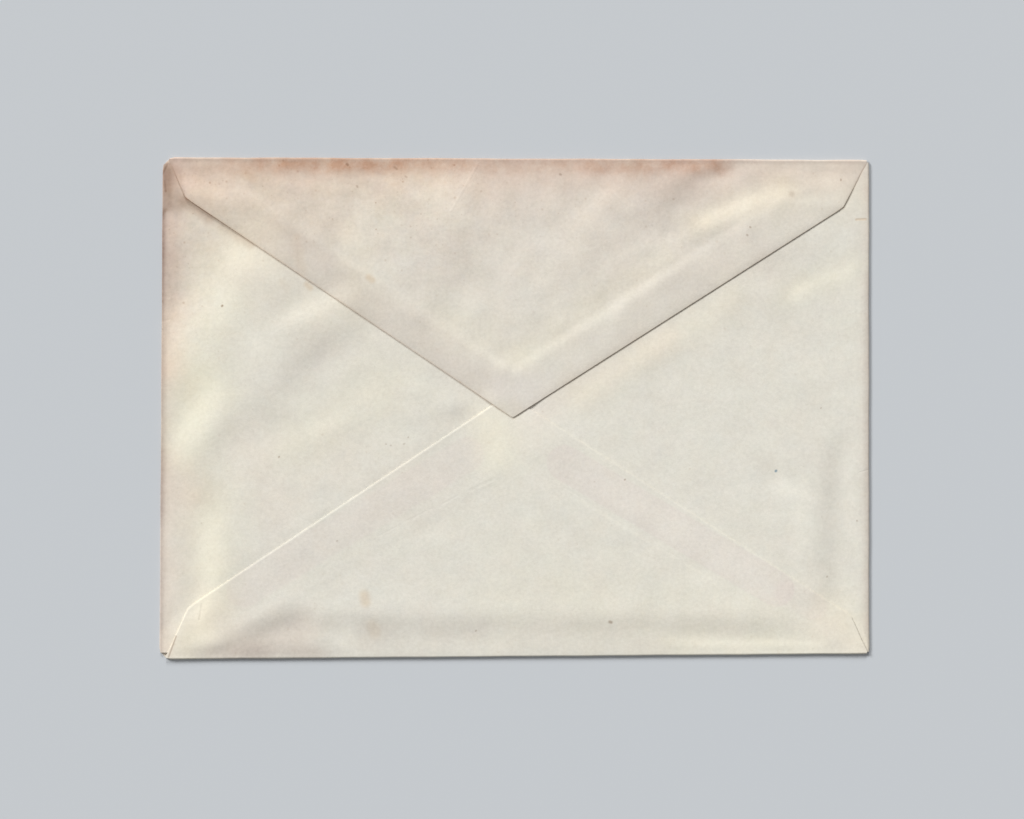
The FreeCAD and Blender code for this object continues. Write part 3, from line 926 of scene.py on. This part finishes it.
def foxingGroup():
    # scattered age spots: a soft disc in each cell whose own random value is below Share, its size
    # and its strength random too
    inputs = [("Place", "Vector"), ("Scale", "Float"), ("Size", "Float"), ("Share", "Float")]
    group, start, end = newGroup("foxing", inputs, [("Mask", "Float")])
    flat = addNode(group, "ShaderNodeVectorMath", operation="MULTIPLY")
    flat.inputs[1].default_value = (1, 1, 0)
    group.links.new(start.outputs["Place"], flat.inputs[0])
    cells = addNode(group, "ShaderNodeTexVoronoi", voronoi_dimensions="2D")
    group.links.new(flat.outputs["Vector"], cells.inputs["Vector"])
    group.links.new(start.outputs["Scale"], cells.inputs["Scale"])
    spread = addNode(group, "ShaderNodeSeparateColor")
    group.links.new(cells.outputs["Color"], spread.inputs["Color"])
    chosen = maths(group, "LESS_THAN", spread.outputs[0], start.outputs["Share"])
    size = maths(group, "MULTIPLY_ADD", spread.outputs[1], 0.9, 0.4)
    size = maths(group, "MULTIPLY", start.outputs["Size"], size)
    away = maths(group, "DIVIDE", cells.outputs["Distance"], size)
    disc = maths(group, "SUBTRACT", 1.0, away, clamp=True)
    strength = maths(group, "MULTIPLY_ADD", spread.outputs[2], 0.8, 0.2)
    strength = maths(group, "MULTIPLY", disc, strength)
    group.links.new(maths(group, "MULTIPLY", chosen, strength), end.inputs["Mask"])
    return group


# Spots, creases, dirt, painted shadow and painted highlights where the photograph shows them, laid out in
# the same way, with a depth and, where it isn't 0, the share of the half width over which the mark is even.
marks = {
    "brown": [  # specks
        (-38.4, 55.7, -38.2, 55.5, 0.55, 0.55),
        (-36.1, 50.7, -36, 50.5, 0.45, 0.35),
        (-27.5, 55, -27, 54.6, 0.5, 0.35),
        (-25, 52.9, -24.7, 52.7, 0.4, 0.3),
        (10.4, 53.4, 10.6, 53.3, 0.45, 0.4),
        (63.3, 48.9, 63.5, 48.8, 1.2, 0.22),
        (74.7, 52.2, 74.7, 52, 0.35, 0.5),
        (53.9, 41.3, 54, 41.2, 0.4, 0.45),
        (53.2, 39.5, 53.3, 39.4, 0.45, 0.4),
        (-67, 23.2, -66.9, 23.3, 0.45, 0.7),
        (-54, -11.4, -53.9, -11.3, 0.35, 0.5),
        (-40.7, -30.6, -40.6, -30.5, 0.3, 0.35),
        (-8.9, -51.2, -8.8, -51.1, 0.35, 0.4),
        (21.8, -49.1, 22.1, -49.2, 0.65, 0.55),
        (25.2, -16.6, 25.3, -16.5, 0.35, 0.45),
        (70.1, -0.2, 70.2, -0.1, 0.3, 0.35),
        (71.5, -38.8, 71.6, -38.7, 0.35, 0.4),
        (78.4, -26, 78.4, -25.9, 0.35, 0.4),
        (-29.5, -8.4, -29.4, -8.4, 0.3, 0.35),
        (-28.4, -8.7, -28.3, -8.7, 0.3, 0.3),
        (-25.4, -8.4, -25.2, -8.3, 0.35, 0.3),
        (-24.4, -6.9, -24.3, -6.8, 0.3, 0.3),
    ],
    "blue": [(59.8, -14.6, 59.9, -14.5, 0.5, 0.75)],
    "shadowUnderFlap": [  # painted shadow under the seal flap's left edge and its lifted shoulder, with some dirt caught there
        (-75, 47.4, -69.8, 43.9, 3.2, 0.66),
        (-75, 47.9, -66, 41.7, 0.7, 0.32),
        (-66.8, 41.9, -60.5, 37.8, 2.5, 0.38),
        (-65.2, 41.1, -54, 33.6, 0.7, 0.24),
        (-54, 33.7, -30, 17.6, 0.7, 0.2),
        (-30, 17.6, -3, -0.8, 0.6, 0.15),
    ],
    "shade": [  # dirt and painted shade in the wrinkles along the left folds and at the bottom left corner, and painted shade in a crease
        (-77.5, -52.4, -79.2, -57.1, 0.35, 0.8),
        (-71.7, -45.6, -72.2, -48.4, 0.6, 0.12),
        (-79.6, 54.8, -79.8, 46, 2.2, 0.55),
        (-80.9, 53, -79.4, 55.9, 0.45, 0.4),
        (-80.2, 51.8, -79.9, 49.6, 0.5, 0.3),
        (-80.8, 45, -81.1, 20.5, 1.3, 0.55),
        (-81.2, 19, -81.4, -20, 0.7, 0.35),
        (-79.8, 45.2, -80.6, 44.2, 0.8, 0.35),
        (-78.8, 53.8, -77.4, 46, 3.6, 0.5),
    ],
    "gum": [  # where the bottom flap is gummed down, it shows through
        (11.4, -12.7, 60, -41.6, 4.4, 0.72, 0.84),
        (62.5, -42.6, 68.5, -45.6, 4, 0.5, 0.5),
        (-11, -10.8, -62, -41.8, 4.6, 0.55, 0.72),
    ],
    "edgeDirtAndShade": [  # handling has darkened the seal flap's cut edge, and painted shade darkens the shadow line just below it
        (-0.4, -2.5, 75.3, 45.8, 0.45, 0.3),
        (75.3, 45.7, 80.3, 55.5, 0.4, 0.3),
        (-0.9, -2.2, -12.5, 5.8, 0.45, 0.3),
        (-12.5, 5.8, -75.2, 48, 0.45, 0.3),
        (-75.2, 47.9, -78.9, 55.6, 0.4, 0.25),
    ],
    "light": [  # worn fibres, and painted highlights along low ridges
        (-34, 28.2, -2.5, 9.6, 1.7, 0.42),
        (15.5, -21.6, 28, -29.2, 0.7, 0.6),
        (28, -29.2, 45, -39.4, 0.6, 0.35),
        (79.4, -49.8, 80.5, -54.5, 0.5, 0.9),
        (80.4, -52.8, 80.9, -55.9, 0.4, 1.2),
        (-63.6, -57.3, -63.2, -56.2, 0.35, 1),
        (-76, -57.5, -67, -57.5, 0.4, 1.2),
        (-54.5, -57.2, -54, -56.4, 0.35, 0.9),
        (79.6, 56.5, 81.2, 56.6, 0.35, 1.2),
        (81.1, 56.4, 81.3, 53.5, 0.35, 0.9),
        (81.2, 51, 81.3, 49, 0.35, 0.7),
        (81.3, 45, 81.3, 43.5, 0.35, 0.7),
    ],
    "rust": [  # foxing that is too wide to be scattered
        (-50, 38.5, -48.6, 31, 2.4, 0.12),
        (-47.6, 28.2, -46.8, 27.4, 1.3, 0.35),
        (-33.4, 29.8, -32.6, 29.2, 1.4, 0.4),
        (-61.8, 53.4, -59.8, 52.4, 2, 0.25),
        (-53.2, 28.4, -52, 27.4, 1.8, 0.1),
        (-34.4, -43, -34.1, -44.6, 2.2, 0.4),
        (-32.6, -50, -32, -51.5, 2.6, 0.2),
        (78.2, 43, 80.4, 43.1, 0.5, 0.5),
    ],
    "crease": [  # in the bump: ridges above 0, grooves below
        (-8.5, 55.5, -14.5, 45, 0.5, 0.5),
        (78.4, 43, 80.3, 43.1, 0.35, -0.8),
        (79, -14.9, 81, -14.3, 0.35, -0.7),
        (-71.6, -45.2, -72.1, -48.6, 0.45, -0.7),
        (-81, 25.6, -79.2, 25.2, 0.6, -0.8),
        (-81, 19.6, -79.4, 20, 0.6, -0.8),
        (-4.7, -16.4, -10, -18.9, 0.7, -0.5),
        (-13, -20.2, -16.5, -22.1, 0.4, -0.35),
        (-19, -23.2, -24.5, -25.9, 0.4, -0.3),
        (-27, -27.3, -31, -29.4, 0.4, -0.3),
        (8, -14.4, 10.2, -17.4, 0.6, -0.5),
        (11.6, -18.4, 15.5, -20.8, 0.5, -0.4),
    ],
}


def paperMaterial():
    material = bpy.data.materials.new("aged paper")
    material.use_nodes = True
    tree = material.node_tree
    shader = tree.nodes["Principled BSDF"]
    places = addNode(tree, "ShaderNodeTexCoord")
    scaled = addNode(tree, "ShaderNodeMapping")
    scaled.inputs["Scale"].default_value = (1 / mm, 1 / mm, 1 / mm)
    tree.links.new(places.outputs["Object"], scaled.inputs["Vector"])
    place = scaled.outputs["Vector"]

    def attribute(name):
        node = addNode(tree, "ShaderNodeAttribute", attribute_name=name)
        return node.outputs["Fac"]

    fibre = addNode(tree, "ShaderNodeGroup", node_tree=fibreGroup())
    tree.links.new(place, fibre.inputs["Place"])
    stroke = strokeGroup()

    def strokes(name):
        total = None
        for x0, y0, x1, y1, half, depth, *core in marks[name]:
            length = math.hypot(x1 - x0, y1 - y0)
            tx, ty = (x1 - x0) / length / half, (y1 - y0) / length / half
            mx, my = (x0 + x1) / 2, (y0 + y1) / 2
            node = addNode(tree, "ShaderNodeGroup", node_tree=stroke)
            setInputs(node, {"Along": (tx, ty, 0), "Middle": tx * mx + ty * my, "Reach": length / 2 / half})
            setInputs(node, {"Across": (-ty, tx, 0), "Offset": tx * my - ty * mx, "Core": sum(core)})
            tree.links.new(place, node.inputs["Place"])
            part = maths(tree, "MULTIPLY", node.outputs["Mask"], depth)
            total = part if total is None else maths(tree, "ADD", total, part)
        return total

    wear = attribute("wear")
    hue = maths(tree, "MULTIPLY", wear, paper["hue"])
    base = addNode(tree, "ShaderNodeRGB")
    base.outputs[0].default_value = (*paper["colour"], 1)
    warm = maths(tree, "MULTIPLY_ADD", fibre.outputs["Warm"], hue, attribute("yellow"))
    rosy = maths(tree, "MULTIPLY_ADD", fibre.outputs["Rosy"], hue, attribute("pink"))
    colour = tint(tree, base.outputs[0], warm, paper["yellow"])
    colour = tint(tree, colour, rosy, paper["pink"])

    blotch = addNode(tree, "ShaderNodeTexNoise")
    setInputs(blotch, paper["blotch"])
    tree.links.new(place, blotch.inputs["Vector"])
    uneven = maths(tree, "MULTIPLY_ADD", blotch.outputs["Fac"], *paper["stainBlotch"])
    stain = maths(tree, "MULTIPLY", attribute("stain"), uneven, clamp=True)
    colour = tint(tree, colour, stain, paper["stain"])

    spots = foxingGroup()
    patchy = maths(tree, "MULTIPLY_ADD", blotch.outputs["Fac"], *paper["spotBlotch"], clamp=True)
    patchy = maths(tree, "MULTIPLY", patchy, maths(tree, "MULTIPLY_ADD", wear, *paper["spotWear"]))
    for kind in foxing:
        node = addNode(tree, "ShaderNodeGroup", node_tree=spots)
        setInputs(node, {key: kind[key] for key in ("Scale", "Size", "Share")})
        tree.links.new(place, node.inputs["Place"])
        spotted = maths(tree, "MULTIPLY", node.outputs["Mask"], patchy)
        colour = tint(tree, colour, spotted, kind["tint"])
    for name, by in tints.items():
        mask = strokes(name)
        # the painted shadow under the seal flap's edge stays off the flap itself
        if name == "shadowUnderFlap":
            mask = maths(tree, "MULTIPLY", mask, attribute("under"))
        colour = tint(tree, colour, mask, by)

    cloud = maths(tree, "MULTIPLY", fibre.outputs["Cloud"], wear)
    bright = maths(tree, "MULTIPLY_ADD", cloud, paper["mottle"], 1.0)
    bright = maths(tree, "MULTIPLY_ADD", fibre.outputs["Grain"], paper["grain"], bright)
    # the painted highlight along the bottom flap's cut edge
    bright = maths(tree, "MULTIPLY_ADD", attribute("edge"), paper["edge"] - 1, bright)
    # this also carries painted light and shade, from the tone strokes and the bends
    shaded = addNode(tree, "ShaderNodeVectorMath", operation="MULTIPLY_ADD")
    shaded.inputs[1].default_value = paper["toneHue"]
    tree.links.new(attribute("tone"), shaded.inputs[0])
    tree.links.new(bright, shaded.inputs[2])
    scale = addNode(tree, "ShaderNodeVectorMath", operation="MULTIPLY")
    tree.links.new(colour, scale.inputs[0])
    tree.links.new(shaded.outputs["Vector"], scale.inputs[1])
    tree.links.new(scale.outputs["Vector"], shader.inputs["Base Color"])

    height = maths(tree, "MULTIPLY_ADD", strokes("crease"), paper["crease"], fibre.outputs["Height"])
    bump = addNode(tree, "ShaderNodeBump")
    setInputs(bump, {"Strength": paper["bump"], "Distance": paper["bumpHeight"] * mm})
    tree.links.new(height, bump.inputs["Height"])
    tree.links.new(bump.outputs["Normal"], shader.inputs["Normal"])
    setInputs(shader, {"Roughness": paper["roughness"], "Specular IOR Level": paper["specular"]})
    return material


envelope.data.materials.clear()
envelope.data.materials.append(paperMaterial())
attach(envelope, "root")
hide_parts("envelope")
print("paper made")

studio = {  # lengths in metres
    "floor": (0.552, 0.578, 0.604),
    "floorRoughness": 0.9,
    "floorSize": 1.6,
    "floorDrop": 0.02 * mm,  # so that the front doesn't lie in the same plane
    "level": 0.5 * mm,  # of the back, from which the camera's height is measured
    "cameraHeight": 0.8,
    "frameWidth": 0.2345,  # what the picture's width covers
    "aim": (-0.0006, -0.00048),
    "sensor": 36,  # this one in millimetres
}


def plainMaterial(name, colour, roughness):
    material = bpy.data.materials.new(name)
    material.use_nodes = True
    shader = material.node_tree.nodes["Principled BSDF"]
    setInputs(shader, {"Base Color": (*colour, 1), "Roughness": roughness})
    return material


half = studio["floorSize"] / 2
floorCorners = [(-half, -half, 0), (half, -half, 0), (half, half, 0), (-half, half, 0)]
floorMesh = bpy.data.meshes.new("floor")
floorMesh.from_pydata(floorCorners, [], [(0, 1, 2, 3)])
floor = addObject("floor", floorMesh)
floor.location.z = -studio["floorDrop"]
floorMaterial = plainMaterial("pale floor", studio["floor"], studio["floorRoughness"])
floor.data.materials.append(floorMaterial)

world = bpy.data.worlds.new("studio")
world.use_nodes = True
background = world.node_tree.nodes["Background"]
setInputs(background, {"Color": (1, 1, 1, 1), "Strength": light["fill"]})
bpy.context.scene.world = world
for number, (towards, share) in enumerate(light["sweep"]):
    lamp = bpy.data.lights.new(f"sweep{number}", "SUN")
    lamp.angle = math.radians(light["angle"])
    lamp.energy = share * math.pi * math.hypot(*towards) / towards[2]
    lampObject = addObject(f"sweep{number}", lamp)
    lampObject.location = towards
    lampObject.rotation_euler = lampObject.location.to_track_quat("Z", "Y").to_euler()

lens = bpy.data.cameras.new("camera")
lens.sensor_width = studio["sensor"]
lens.lens = studio["sensor"] * studio["cameraHeight"] / studio["frameWidth"]
lens.clip_start = 0.01
camera = addObject("camera", lens)
camera.location = (*studio["aim"], studio["cameraHeight"] + studio["level"])
bpy.context.scene.camera = camera
bpy.context.scene.view_settings.view_transform = "Standard"
print("studio made")
